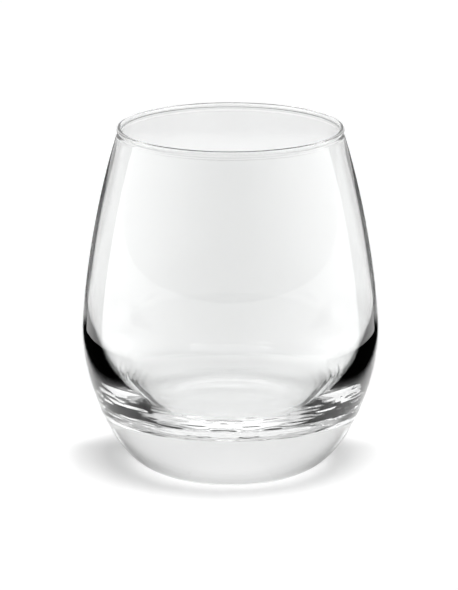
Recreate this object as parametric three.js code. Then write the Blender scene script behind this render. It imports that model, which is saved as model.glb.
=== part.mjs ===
// Clear glass tumbler: a thick rounded base, a full belly and a thin wall that leans in to a rounded rim.
// It is one continuous piece of glass, turned about +Z and standing on the plane z = 0. Sizes are in millimetres.
import * as THREE from 'three';

// Outside
const HEIGHT = 100;
const BELLY_DIAMETER = 85.7;
const BELLY_HEIGHT = 40;
const RIM_DIAMETER = 64.9;
const RIM_LEAN = THREE.MathUtils.degToRad(17.6);

// Rounded rim: higher above its thickest level than below it, flush with the wall inside and a little proud outside
const RIM_THICKNESS = 1.36;
const RIM_CROWN = 0.9;
const RIM_HEEL = 0.5;
const RIM_STEP = 0.45;

// Foot: a flat ring to stand on, round a shallow hollow; the bowl rises from the ring's outer edge at a slope
const FOOT_DIAMETER = 47;
const FOOT_RING_WIDTH = 3.6;
const FOOT_SLOPE = THREE.MathUtils.degToRad(18.9);
const HOLLOW_DEPTH = 0.4;

// Cavity: a flat floor high above the table, a round corner, and a wall whose widest level lies above the belly
const BASE_THICKNESS = 17;
const FLOOR_DIAMETER = 41.4;
const CORNER_RADIUS = 16.3;
const CORNER_TURN = THREE.MathUtils.degToRad(59.5);
const CAVITY_INSET = 2.1;
const CAVITY_RISE = 5.8;

// How far each curve runs along its end directions, as a part of the height that it spans
const BOWL_FOOT_PULL = 0.345;
const BOWL_BELLY_PULL = 0.271;
const WALL_BELLY_PULL = 0.124;
const WALL_RIM_PULL = 0.448;
const CAVITY_RIM_PULL = 0.229;
const CAVITY_HIGH_PULL = 0.26;
const CAVITY_LOW_PULL = 0.408;
const CAVITY_CORNER_PULL = 0.336;

// Fineness of the surface
const TURN_STEPS = 72;
const HOLLOW_STEPS = 4;
const BOWL_STEPS = 14;
const WALL_STEPS = 11;
const RIM_STEPS = 3;
const CAVITY_STEPS = 10;
const BOWL_INSIDE_STEPS = 8;
const CORNER_STEPS = 6;

// Profile of one side, as radius and height, from the middle of the underside round to the cavity floor
function tumblerProfile() {
  const bellyRadius = BELLY_DIAMETER / 2;
  const footRadius = FOOT_DIAMETER / 2;
  const hollowRadius = footRadius - FOOT_RING_WIDTH;
  const floorRadius = FLOOR_DIAMETER / 2;

  // Direction up along the wall at the rim
  const up = new THREE.Vector2(-Math.sin(RIM_LEAN), Math.cos(RIM_LEAN));

  // Rim: two half ellipses that share their thickest level, each with its reach square to the wall
  const rimHalf = RIM_THICKNESS / 2;
  const rimLevel = HEIGHT - RIM_CROWN;
  const onRim = (angle) => new THREE.Vector2(
    RIM_DIAMETER / 2 - rimHalf + rimHalf * Math.cos(angle),
    rimLevel + (Math.sin(angle) > 0 ? RIM_CROWN : RIM_HEEL) * Math.sin(angle),
  );
  const crownReach = Math.hypot(rimHalf * Math.cos(RIM_LEAN), RIM_CROWN * Math.sin(RIM_LEAN));
  const heelReach = Math.hypot(rimHalf * Math.cos(RIM_LEAN), RIM_HEEL * Math.sin(RIM_LEAN));
  const heelTurn = Math.atan2(RIM_HEEL * Math.sin(RIM_LEAN), rimHalf * Math.cos(RIM_LEAN));
  const rimStart = heelTurn - Math.acos((crownReach - RIM_STEP) / heelReach);
  const rimEnd = Math.PI + heelTurn;
  const neckOutside = onRim(rimStart);
  const neckInside = onRim(rimEnd);

  const foot = new THREE.Vector2(footRadius, 0);
  const footDirection = new THREE.Vector2(Math.cos(FOOT_SLOPE), Math.sin(FOOT_SLOPE));
  const belly = new THREE.Vector2(bellyRadius, BELLY_HEIGHT);
  const bowl = new THREE.CubicBezierCurve(
    foot,
    foot.clone().addScaledVector(footDirection, BOWL_FOOT_PULL * BELLY_HEIGHT),
    new THREE.Vector2(belly.x, belly.y - BOWL_BELLY_PULL * BELLY_HEIGHT),
    belly,
  );

  const wallSpan = neckOutside.y - belly.y;
  const wall = new THREE.CubicBezierCurve(
    belly,
    new THREE.Vector2(belly.x, belly.y + WALL_BELLY_PULL * wallSpan),
    neckOutside.clone().addScaledVector(up, -WALL_RIM_PULL * wallSpan),
    neckOutside,
  );

  const widest = new THREE.Vector2(bellyRadius - CAVITY_INSET, BELLY_HEIGHT + CAVITY_RISE);
  const highSpan = neckInside.y - widest.y;
  const cavityWall = new THREE.CubicBezierCurve(
    neckInside,
    neckInside.clone().addScaledVector(up, -CAVITY_RIM_PULL * highSpan),
    new THREE.Vector2(widest.x, widest.y + CAVITY_HIGH_PULL * highSpan),
    widest,
  );

  const onCorner = (angle) => new THREE.Vector2(
    floorRadius + CORNER_RADIUS * Math.sin(angle),
    BASE_THICKNESS + CORNER_RADIUS * (1 - Math.cos(angle)),
  );
  const cornerTop = onCorner(CORNER_TURN);
  const cornerDirection = new THREE.Vector2(Math.cos(CORNER_TURN), Math.sin(CORNER_TURN));
  const lowSpan = widest.y - cornerTop.y;
  const cavityBowl = new THREE.CubicBezierCurve(
    widest,
    new THREE.Vector2(widest.x, widest.y - CAVITY_LOW_PULL * lowSpan),
    cornerTop.clone().addScaledVector(cornerDirection, CAVITY_CORNER_PULL * lowSpan),
    cornerTop,
  );

  const points = [];
  for (let i = 0; i < HOLLOW_STEPS; i += 1) {
    const part = i / HOLLOW_STEPS;
    points.push(new THREE.Vector2(hollowRadius * part, HOLLOW_DEPTH * (1 - part * part)));
  }
  points.push(new THREE.Vector2(hollowRadius, 0));
  points.push(...bowl.getPoints(BOWL_STEPS).slice(0, -1));
  points.push(...wall.getPoints(WALL_STEPS).slice(0, -1));
  for (const [from, to] of [[rimStart, 0], [0, Math.PI / 2], [Math.PI / 2, Math.PI], [Math.PI, rimEnd]]) {
    for (let i = 0; i < RIM_STEPS; i += 1) {
      points.push(onRim(THREE.MathUtils.lerp(from, to, i / RIM_STEPS)));
    }
  }
  points.push(...cavityWall.getPoints(CAVITY_STEPS).slice(0, -1));
  points.push(...cavityBowl.getPoints(BOWL_INSIDE_STEPS).slice(0, -1));
  for (let i = CORNER_STEPS; i >= 0; i -= 1) {
    points.push(onCorner(CORNER_TURN * i / CORNER_STEPS));
  }
  points.push(new THREE.Vector2(0, BASE_THICKNESS));
  return points;
}

const clearGlass = new THREE.MeshStandardMaterial({ color: 0xe6ecea, roughness: 0.02, metalness: 0 });
clearGlass.name = 'clear_glass';

const shape = new THREE.LatheGeometry(tumblerProfile(), TURN_STEPS);
shape.rotateX(Math.PI / 2);
const glassBody = new THREE.Mesh(shape, clearGlass);
glassBody.name = 'glass_body';

const tumbler = new THREE.Group();
tumbler.name = 'tumbler';
tumbler.add(glassBody);

export default tumbler;
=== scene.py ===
import math

import bpy
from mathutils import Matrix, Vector


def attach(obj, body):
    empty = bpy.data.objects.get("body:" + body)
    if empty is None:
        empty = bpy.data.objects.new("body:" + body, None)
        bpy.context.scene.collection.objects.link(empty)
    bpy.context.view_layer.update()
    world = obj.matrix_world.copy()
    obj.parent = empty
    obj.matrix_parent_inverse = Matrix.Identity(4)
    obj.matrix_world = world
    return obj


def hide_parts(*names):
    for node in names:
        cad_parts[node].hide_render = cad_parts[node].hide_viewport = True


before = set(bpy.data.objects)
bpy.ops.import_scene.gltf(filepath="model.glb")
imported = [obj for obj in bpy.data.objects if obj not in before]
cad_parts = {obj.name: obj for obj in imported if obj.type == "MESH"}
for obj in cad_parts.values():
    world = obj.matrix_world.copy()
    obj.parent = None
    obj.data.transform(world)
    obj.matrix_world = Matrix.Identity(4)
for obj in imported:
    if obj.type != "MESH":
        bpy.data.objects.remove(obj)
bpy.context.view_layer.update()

# The glass is measured in millimetres, and the studio in metres
MM = 0.001
WHITE = (1, 1, 1, 1)

# Outside of the glass
HEIGHT = 100.0
BELLY_RADIUS = 42.85
BELLY_HEIGHT = 40.0
RIM_RADIUS = 32.45
RIM_LEAN = math.radians(17.6)
RIM_THICKNESS = 1.36
RIM_CROWN = 0.9
RIM_HEEL = 0.5
RIM_STEP = 0.45

# Foot ring and the hollow inside it
FOOT_RADIUS = 23.5
FOOT_RING_WIDTH = 3.6
FOOT_SLOPE = math.radians(18.9)
HOLLOW_DEPTH = 0.4

# Cavity
BASE_THICKNESS = 17.0
FLOOR_RADIUS = 20.7
CORNER_RADIUS = 16.3
CORNER_TURN = math.radians(59.5)
CAVITY_INSET = 2.1
CAVITY_RISE = 5.8

# How far each curve runs along its end directions, as a part of the height that it spans
BOWL_FOOT_PULL = 0.345
BOWL_BELLY_PULL = 0.271
WALL_BELLY_PULL = 0.124
WALL_RIM_PULL = 0.448
CAVITY_RIM_PULL = 0.229
CAVITY_HIGH_PULL = 0.26
CAVITY_LOW_PULL = 0.408
CAVITY_CORNER_PULL = 0.336

# Fineness of the turned surface
TURN_STEPS = 192
HOLLOW_STEPS = 30
RING_STEPS = 6
BOWL_STEPS = 70
WALL_STEPS = 60
RIM_STEPS = 8
CAVITY_STEPS = 50
CAVITY_BOWL_STEPS = 60
CORNER_STEPS = 70
FLOOR_STEPS = 80

# Faint ripples of the glass round the lower cavity, in millimetres along its curve
RIPPLE_LONG = 3.2
RIPPLE_LONG_DEPTH = 0.03
RIPPLE_SHORT = 1.9
RIPPLE_SHORT_DEPTH = 0.02
RIPPLE_FROM = 19.0
RIPPLE_TO = 41.0
RIPPLE_FADE = 4.0

# How the ripples wander round the glass: the share, waves in a full turn and start angle of each part
RIPPLE_WANDER = ((1.0, 2, 0.6), (0.6, 5, 2.1), (0.5, 11, 0.9), (0.4, 17, 4.0))
RIPPLE_SWING = 1.6
RIPPLE_SHORT_SWING = 1.7
RIPPLE_SHORT_WAVES = 3


def bezier(start, start_handle, end_handle, end, steps):
    """Points of a cubic curve, without its last one."""
    points = []
    for i in range(steps):
        t = i / steps
        s = 1 - t
        near = start * s**3 + start_handle * (3 * s * s * t)
        points.append(near + end_handle * (3 * s * t * t) + end * t**3)
    return points


def tumbler_profile():
    """Radius and height of one side, from the middle of the underside to the middle of the cavity floor."""
    up = Vector((-math.sin(RIM_LEAN), math.cos(RIM_LEAN)))
    rim_half = RIM_THICKNESS / 2
    half_across = rim_half * math.cos(RIM_LEAN)
    crown_reach = math.hypot(half_across, RIM_CROWN * math.sin(RIM_LEAN))
    heel_reach = math.hypot(half_across, RIM_HEEL * math.sin(RIM_LEAN))
    heel_turn = math.atan2(RIM_HEEL * math.sin(RIM_LEAN), half_across)
    rim_start = heel_turn - math.acos((crown_reach - RIM_STEP) / heel_reach)
    rim_end = math.pi + heel_turn

    def on_rim(angle):
        tall = RIM_CROWN if math.sin(angle) > 0 else RIM_HEEL
        across = RIM_RADIUS - rim_half + rim_half * math.cos(angle)
        return Vector((across, HEIGHT - RIM_CROWN + tall * math.sin(angle)))

    def on_corner(angle):
        across = FLOOR_RADIUS + CORNER_RADIUS * math.sin(angle)
        return Vector((across, BASE_THICKNESS + CORNER_RADIUS * (1 - math.cos(angle))))

    neck_outside = on_rim(rim_start)
    neck_inside = on_rim(rim_end)
    hollow_radius = FOOT_RADIUS - FOOT_RING_WIDTH
    foot = Vector((FOOT_RADIUS, 0))
    foot_direction = Vector((math.cos(FOOT_SLOPE), math.sin(FOOT_SLOPE)))
    belly = Vector((BELLY_RADIUS, BELLY_HEIGHT))
    wall_span = neck_outside.y - belly.y
    widest = Vector((BELLY_RADIUS - CAVITY_INSET, BELLY_HEIGHT + CAVITY_RISE))
    high_span = neck_inside.y - widest.y
    corner_top = on_corner(CORNER_TURN)
    corner_direction = Vector((math.cos(CORNER_TURN), math.sin(CORNER_TURN)))
    low_span = widest.y - corner_top.y
    upright = Vector((0, 1))

    points = []
    for i in range(HOLLOW_STEPS):
        part = i / HOLLOW_STEPS
        points.append(Vector((hollow_radius * part, HOLLOW_DEPTH * (1 - part * part))))
    for i in range(RING_STEPS):
        points.append(Vector((hollow_radius + FOOT_RING_WIDTH * i / RING_STEPS, 0)))
    points += bezier(
        foot,
        foot + foot_direction * (BOWL_FOOT_PULL * BELLY_HEIGHT),
        belly - upright * (BOWL_BELLY_PULL * BELLY_HEIGHT),
        belly,
        BOWL_STEPS,
    )
    points += bezier(
        belly,
        belly + upright * (WALL_BELLY_PULL * wall_span),
        neck_outside - up * (WALL_RIM_PULL * wall_span),
        neck_outside,
        WALL_STEPS,
    )
    stops = (rim_start, 0, math.pi / 2, math.pi, rim_end)
    for first, last in zip(stops, stops[1:]):
        for i in range(RIM_STEPS):
            points.append(on_rim(first + (last - first) * i / RIM_STEPS))
    points += bezier(
        neck_inside,
        neck_inside - up * (CAVITY_RIM_PULL * high_span),
        widest + upright * (CAVITY_HIGH_PULL * high_span),
        widest,
        CAVITY_STEPS,
    )
    points += bezier(
        widest,
        widest - upright * (CAVITY_LOW_PULL * low_span),
        corner_top + corner_direction * (CAVITY_CORNER_PULL * low_span),
        corner_top,
        CAVITY_BOWL_STEPS,
    )
    for i in range(CORNER_STEPS):
        points.append(on_corner(CORNER_TURN * (1 - i / CORNER_STEPS)))
    for i in range(FLOOR_STEPS + 1):
        points.append(Vector((FLOOR_RADIUS * (1 - i / FLOOR_STEPS), BASE_THICKNESS)))
    return points


def ripple(along, angle):
    """How far the cavity stands off its true curve, at a distance along it from the middle of its floor."""
    wander = sum(share * math.sin(waves * angle + start) for share, waves, start in RIPPLE_WANDER)
    swing = RIPPLE_SWING * wander
    short_swing = math.sin(RIPPLE_SHORT_WAVES * angle) - RIPPLE_SHORT_SWING * swing
    long_wave = math.sin(2 * math.pi * along / RIPPLE_LONG + swing)
    short_wave = math.sin(2 * math.pi * along / RIPPLE_SHORT + short_swing)
    rise = min(max((along - RIPPLE_FROM) / RIPPLE_FADE, 0), 1)
    fall = min(max((RIPPLE_TO - along) / RIPPLE_FADE, 0), 1)
    return rise * fall * (RIPPLE_LONG_DEPTH * long_wave + RIPPLE_SHORT_DEPTH * short_wave)


def turned_piece(name, profile, steps):
    """A closed smooth mesh, turned about Z from a profile in millimetres whose two ends lie on the axis."""
    # Distance along the cavity from the middle of its floor, for the points that the ripples move
    inner = {}
    along = 0.0
    for i in range(len(profile) - 2, 0, -1):
        along += (profile[i] - profile[i + 1]).length
        if along > RIPPLE_TO:
            break
        inner[i] = along
    verts = [(0, 0, profile[0].y * MM)]
    for i in range(1, len(profile) - 1):
        course = (profile[i + 1] - profile[i - 1]).normalized()
        normal = Vector((course.y, -course.x))
        for j in range(steps):
            angle = 2 * math.pi * j / steps
            point = profile[i]
            if i in inner:
                point = point + normal * ripple(inner[i], angle)
            verts.append((point.x * math.cos(angle) * MM, point.x * math.sin(angle) * MM, point.y * MM))
    verts.append((0, 0, profile[-1].y * MM))
    rings = len(profile) - 2
    last = len(verts) - 1
    faces = []
    for j in range(steps):
        k = (j + 1) % steps
        faces.append((0, 1 + k, 1 + j))
        for i in range(rings - 1):
            low = 1 + i * steps
            high = low + steps
            faces.append((low + j, low + k, high + k, high + j))
        top = 1 + (rings - 1) * steps
        faces.append((top + j, top + k, last))
    mesh = bpy.data.meshes.new(name)
    mesh.from_pydata(verts, [], faces)
    mesh.shade_smooth()
    piece = bpy.data.objects.new(name, mesh)
    bpy.context.collection.objects.link(piece)
    return piece


def coordinates(tree, kind):
    """A place on the surface or a direction in the studio, and its parts along the axes."""
    place = tree.nodes.new("ShaderNodeTexCoord")
    split = tree.nodes.new("ShaderNodeSeparateXYZ")
    tree.links.new(place.outputs[kind], split.inputs["Vector"])
    return place.outputs[kind], split.outputs


def soft_step(tree, value, limits, near, far):
    """A number that goes smoothly from near to far while a value crosses two limits."""
    node = tree.nodes.new("ShaderNodeMapRange")
    node.interpolation_type = "SMOOTHSTEP"
    node.inputs["From Min"].default_value = limits[0]
    node.inputs["From Max"].default_value = limits[1]
    node.inputs["To Min"].default_value = near
    node.inputs["To Max"].default_value = far
    tree.links.new(value, node.inputs["Value"])
    return node.outputs["Result"]


def calculated(tree, operation, *terms):
    """The result of one operation on sockets and plain numbers."""
    node = tree.nodes.new("ShaderNodeMath")
    node.operation = operation
    for socket, term in zip(node.inputs, terms):
        if isinstance(term, float):
            socket.default_value = term
        else:
            tree.links.new(term, socket)
    return node.outputs[0]


# Clear polished glass, with a very faint unevenness
GLASS_TINT = (0.906, 0.911, 0.909, 1)
GLASS_INDEX = 1.52
GLASS_ROUGHNESS = 0.0
POLISH_SCALE = 60.0
POLISH_STRENGTH = 0.02
POLISH_DEPTH = 0.0001
CLEAR_PART = 0.9
CLEAR_RISE = (0.02, 0.05)


def clear_glass():
    material = bpy.data.materials.new("clear_glass")
    material.use_nodes = True
    tree = material.node_tree
    shader = tree.nodes["Principled BSDF"]
    shader.inputs["Base Color"].default_value = GLASS_TINT
    shader.inputs["Transmission Weight"].default_value = 1.0
    shader.inputs["IOR"].default_value = GLASS_INDEX
    shader.inputs["Roughness"].default_value = GLASS_ROUGHNESS
    place, parts = coordinates(tree, "Object")
    waves = tree.nodes.new("ShaderNodeTexNoise")
    waves.inputs["Scale"].default_value = POLISH_SCALE
    bump = tree.nodes.new("ShaderNodeBump")
    bump.inputs["Strength"].default_value = POLISH_STRENGTH
    bump.inputs["Distance"].default_value = POLISH_DEPTH
    tree.links.new(place, waves.inputs["Vector"])
    tree.links.new(waves.outputs["Fac"], bump.inputs["Height"])
    tree.links.new(bump.outputs["Normal"], shader.inputs["Normal"])

    # Light falls through the thin wall to the floor, and the thick base bends it away
    wall = soft_step(tree, parts["Z"], CLEAR_RISE, 0.0, CLEAR_PART)
    ray = tree.nodes.new("ShaderNodeLightPath")
    passed = calculated(tree, "MULTIPLY", wall, ray.outputs["Is Shadow Ray"])
    clear = tree.nodes.new("ShaderNodeBsdfTransparent")
    mix = tree.nodes.new("ShaderNodeMixShader")
    tree.links.new(passed, mix.inputs["Fac"])
    tree.links.new(shader.outputs["BSDF"], mix.inputs[1])
    tree.links.new(clear.outputs["BSDF"], mix.inputs[2])
    tree.links.new(mix.outputs["Shader"], tree.nodes["Material Output"].inputs["Surface"])
    return material


tumbler = turned_piece("tumbler_glass", tumbler_profile(), TURN_STEPS)
tumbler.data.materials.append(clear_glass())
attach(tumbler, "root")
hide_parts("glass_body")

# Floor: plain, pale and matt, with an even glow and painted light round the glass's foot, behind it and
# beside it
FLOOR_HALF = 3.0
FLOOR_GAP = 0.0001
FLOOR_COLOUR = (0.8, 0.8, 0.8, 1)
FLOOR_ROUGHNESS = 0.9
FLOOR_GLOW = 0.41
FOOT_PAINTED_GLOW = 0.26
FOOT_FALL = (0.022, 0.033)
REAR_PAINTED_GLOW = 0.44
REAR_RISE = (0.019, 0.034)
REAR_FALL = (0.044, 0.059)
REAR_FRONT = (0.012, 0.032)
RING_PAINTED_GLOW = 0.16
RING_RISE = (0.043, 0.055)
RING_FALL = (0.07, 0.095)
RING_ASIDE = (0.015, 0.045)


def pale_floor():
    material = bpy.data.materials.new("pale_floor")
    material.use_nodes = True
    tree = material.node_tree
    shader = tree.nodes["Principled BSDF"]
    shader.inputs["Base Color"].default_value = FLOOR_COLOUR
    shader.inputs["Roughness"].default_value = FLOOR_ROUGHNESS
    shader.inputs["Specular IOR Level"].default_value = 0.0
    shader.inputs["Emission Color"].default_value = WHITE
    place, parts = coordinates(tree, "Object")
    radius = tree.nodes.new("ShaderNodeVectorMath")
    radius.operation = "LENGTH"
    tree.links.new(place, radius.inputs[0])
    distance = radius.outputs["Value"]

    def painted_ring_of_light(glow, rise, fall):
        gained = soft_step(tree, distance, rise, 0.0, glow)
        lost = soft_step(tree, distance, fall, 0.0, glow)
        return calculated(tree, "SUBTRACT", gained, lost)

    # Painted light near the glass, added to the even glow: a patch under the foot, an arc behind it and a
    # ring beside it
    foot = soft_step(tree, distance, FOOT_FALL, FOOT_PAINTED_GLOW, 0.0)
    behind = soft_step(tree, parts["Y"], REAR_FRONT, 0.0, 1.0)
    rear = calculated(tree, "MULTIPLY", painted_ring_of_light(REAR_PAINTED_GLOW, REAR_RISE, REAR_FALL), behind)
    beside = soft_step(tree, calculated(tree, "ABSOLUTE", parts["X"]), RING_ASIDE, 0.0, 1.0)
    ring = calculated(tree, "MULTIPLY", painted_ring_of_light(RING_PAINTED_GLOW, RING_RISE, RING_FALL), beside)
    painted_light_near_glass = calculated(tree, "ADD", calculated(tree, "MAXIMUM", foot, rear), ring)
    glow = calculated(tree, "ADD", painted_light_near_glass, FLOOR_GLOW)
    tree.links.new(glow, shader.inputs["Emission Strength"])
    return material


bpy.ops.mesh.primitive_plane_add(size=2 * FLOOR_HALF, location=(0, 0, -FLOOR_GAP))
floor = bpy.context.object
floor.name = "floor"
floor.data.materials.append(pale_floor())

# Studio round the glass: white behind it and overhead, dim on the camera's side, dark at the sides
BACK_GLOW = 0.9
BACK_RISE = (-0.3, 0.9)
BACK_TOP_PART = 0.76
BACK_TOP_FALL = (0.4, 0.64)
OVERHEAD_GLOW = 1.7
OVERHEAD_RISE = (0.72, 0.98)
FRONT_GLOW = 0.2
FRONT_RISE = (-0.7, -1.0)


def light_studio():
    world = bpy.data.worlds.new("studio")
    bpy.context.scene.world = world
    world.use_nodes = True
    tree = world.node_tree
    sky = tree.nodes["Background"]
    sky.inputs["Color"].default_value = WHITE
    toward = coordinates(tree, "Generated")[1]
    back = soft_step(tree, toward["Y"], BACK_RISE, 0.0, BACK_GLOW)
    back_top = soft_step(tree, toward["Z"], BACK_TOP_FALL, 1.0, BACK_TOP_PART)
    overhead = soft_step(tree, toward["Z"], OVERHEAD_RISE, 0.0, OVERHEAD_GLOW)
    front = soft_step(tree, toward["Y"], FRONT_RISE, 0.0, FRONT_GLOW)
    around = calculated(tree, "ADD", calculated(tree, "MULTIPLY", back, back_top), front)
    tree.links.new(calculated(tree, "ADD", around, overhead), sky.inputs["Strength"])
    world.cycles_visibility.diffuse = False


light_studio()

# Wide soft light high in front, a little to the right
LIGHT_ELEVATION = math.radians(74)
LIGHT_ASIDE = math.radians(15)
LIGHT_SPREAD = math.radians(32)
LIGHT_STRENGTH = 2.5

light_data = bpy.data.lights.new("soft_light", "SUN")
light_data.angle = LIGHT_SPREAD
light_data.energy = LIGHT_STRENGTH
soft_light = bpy.data.objects.new("soft_light", light_data)
soft_light.rotation_euler = (math.pi / 2 - LIGHT_ELEVATION, 0, LIGHT_ASIDE)
soft_light.visible_glossy = False
soft_light.visible_transmission = False
bpy.context.collection.objects.link(soft_light)

# Curved reflectors round the glass, which show only as highlights on its surface
REFLECTOR_RADIUS = 0.18
REFLECTOR_HEIGHT = 0.4
REFLECTOR_STEPS = 60
SIDE_FROM = math.radians(74)
SIDE_GLOW = 3.6
SIDE_RISE = (0.0, 0.012)
SIDE_FOOT_PART = 0.6
WING_FROM = math.radians(44)
WING_GLOW = 1.3


def only_in_glass(helper, highlights, bent_light):
    """Shows a helper in the glass alone, in its highlights, in the light that it bends or in both."""
    helper.visible_camera = False
    helper.visible_diffuse = False
    helper.visible_shadow = False
    helper.visible_glossy = highlights
    helper.visible_transmission = bent_light


def light_alone(name):
    """A material that only gives light, and its shader."""
    material = bpy.data.materials.new(name)
    material.use_nodes = True
    tree = material.node_tree
    tree.nodes.remove(tree.nodes["Principled BSDF"])
    shader = tree.nodes.new("ShaderNodeEmission")
    tree.links.new(shader.outputs["Emission"], tree.nodes["Material Output"].inputs["Surface"])
    return material, shader


def side_glow():
    """Light that is brightest beside the glass, and falls off towards the camera and at the floor."""
    material, shader = light_alone("side_glow")
    tree = material.node_tree
    parts = coordinates(tree, "Object")[1]
    square = calculated(tree, "MULTIPLY", parts["X"], parts["X"])
    fade = calculated(tree, "MULTIPLY", square, SIDE_GLOW / REFLECTOR_RADIUS**2)
    rise = soft_step(tree, parts["Z"], SIDE_RISE, SIDE_FOOT_PART, 1.0)
    tree.links.new(calculated(tree, "MULTIPLY", fade, rise), shader.inputs["Strength"])
    return material


def wing_glow():
    material, shader = light_alone("wing_glow")
    shader.inputs["Strength"].default_value = WING_GLOW
    return material


def curved_reflector(name, first, last, material):
    """An upright strip round the glass, between two angles from straight behind it."""
    verts = []
    for i in range(REFLECTOR_STEPS + 1):
        angle = first + (last - first) * i / REFLECTOR_STEPS
        across = REFLECTOR_RADIUS * math.sin(angle)
        along = REFLECTOR_RADIUS * math.cos(angle)
        verts.append((across, along, 0.0))
        verts.append((across, along, REFLECTOR_HEIGHT))
    faces = [(2 * i, 2 * i + 2, 2 * i + 3, 2 * i + 1) for i in range(REFLECTOR_STEPS)]
    mesh = bpy.data.meshes.new(name)
    mesh.from_pydata(verts, [], faces)
    mesh.materials.append(material)
    reflector = bpy.data.objects.new(name, mesh)
    bpy.context.collection.objects.link(reflector)
    only_in_glass(reflector, highlights=True, bent_light=False)


wing_light = wing_glow()
curved_reflector("side_reflector", SIDE_FROM, 2 * math.pi - SIDE_FROM, side_glow())
curved_reflector("right_wing", WING_FROM, SIDE_FROM, wing_light)
curved_reflector("left_wing", -SIDE_FROM, -WING_FROM, wing_light)

# Dark cards with soft edges, flat just above the floor, which show only in the glass. Each pair of numbers
# is a soft edge: aside and outer are distances across X, outer grows along Y by the slope, and reach is a
# distance along Y from the middle
CARD_HALF = 0.6
CARD_HEIGHT = 0.0005
CARD_COLOUR = (0.005, 0.005, 0.005, 1)
CARDS = {
    "near_cards": {
        "shade": 1.0,
        "aside": (0.075, 0.095),
        "outer": (0.3, 0.35),
        "slope": 0.0,
        "middle": 0.05,
        "reach": (0.09, 0.12),
        "highlights": True,
        "bent_light": False,
    },
    "far_cards": {
        "shade": 0.85,
        "aside": (0.075, 0.115),
        "outer": (0.052, 0.08),
        "slope": 0.5,
        "middle": 0.37,
        "reach": (0.14, 0.24),
        "highlights": True,
        "bent_light": True,
    },
    "back_card": {
        "shade": 0.1,
        "aside": (-0.02, -0.01),
        "outer": (0.15, 0.2),
        "slope": 0.0,
        "middle": 0.6,
        "reach": (0.18, 0.22),
        "highlights": False,
        "bent_light": True,
    },
    "front_cards": {
        "shade": 0.85,
        "aside": (0.2, 0.24),
        "outer": (0.42, 0.5),
        "slope": 0.0,
        "middle": -0.085,
        "reach": (0.03, 0.05),
        "highlights": True,
        "bent_light": True,
    },
}


def card_shade(name, shade, aside, outer, slope, middle, reach):
    """Matt black between two distances aside, of which the outer one grows along Y, and clear elsewhere."""
    material = bpy.data.materials.new(name)
    material.use_nodes = True
    tree = material.node_tree
    shader = tree.nodes["Principled BSDF"]
    shader.inputs["Base Color"].default_value = CARD_COLOUR
    shader.inputs["Roughness"].default_value = 1.0
    shader.inputs["Specular IOR Level"].default_value = 0.0
    parts = coordinates(tree, "Object")[1]
    across = calculated(tree, "ABSOLUTE", parts["X"])
    beyond = calculated(tree, "MULTIPLY_ADD", parts["Y"], -slope, across)
    along = calculated(tree, "ABSOLUTE", calculated(tree, "SUBTRACT", parts["Y"], middle))
    inner_edge = soft_step(tree, across, aside, 0.0, shade)
    outer_edge = soft_step(tree, beyond, outer, 1.0, 0.0)
    end_edge = soft_step(tree, along, reach, 1.0, 0.0)
    sides = calculated(tree, "MULTIPLY", inner_edge, outer_edge)
    tree.links.new(calculated(tree, "MULTIPLY", sides, end_edge), shader.inputs["Alpha"])
    return material


def soft_card(name, height, highlights, bent_light, **shading):
    bpy.ops.mesh.primitive_plane_add(size=2 * CARD_HALF, location=(0, 0, height))
    card = bpy.context.object
    card.name = name
    card.data.materials.append(card_shade(name, **shading))
    only_in_glass(card, highlights, bent_light)


for level, (card_name, card) in enumerate(CARDS.items(), 1):
    soft_card(card_name, level * CARD_HEIGHT, **card)

# Camera
CAMERA_DISTANCE = 1.0
CAMERA_ELEVATION = math.radians(15.46)
CAMERA_AIM = Vector((-0.00042, 0, 0.05015))
LENS = 211.5
SENSOR = 36.0

camera_data = bpy.data.cameras.new("camera")
camera_data.lens = LENS
camera_data.sensor_width = SENSOR
camera = bpy.data.objects.new("camera", camera_data)
away = Vector((0, -math.cos(CAMERA_ELEVATION), math.sin(CAMERA_ELEVATION)))
camera.location = CAMERA_AIM + away * CAMERA_DISTANCE
camera.rotation_mode = "QUATERNION"
camera.rotation_quaternion = (-away).to_track_quat("-Z", "Y")
bpy.context.collection.objects.link(camera)
bpy.context.scene.camera = camera

bpy.context.scene.view_settings.view_transform = "Standard"

# Light turns many times inside the thick base before it leaves
LIGHT_STEPS = 24
INNER_TURNS = 7
bpy.context.scene.cycles.max_bounces = LIGHT_STEPS
bpy.context.scene.cycles.transmission_bounces = LIGHT_STEPS
bpy.context.scene.cycles.glossy_bounces = INNER_TURNS
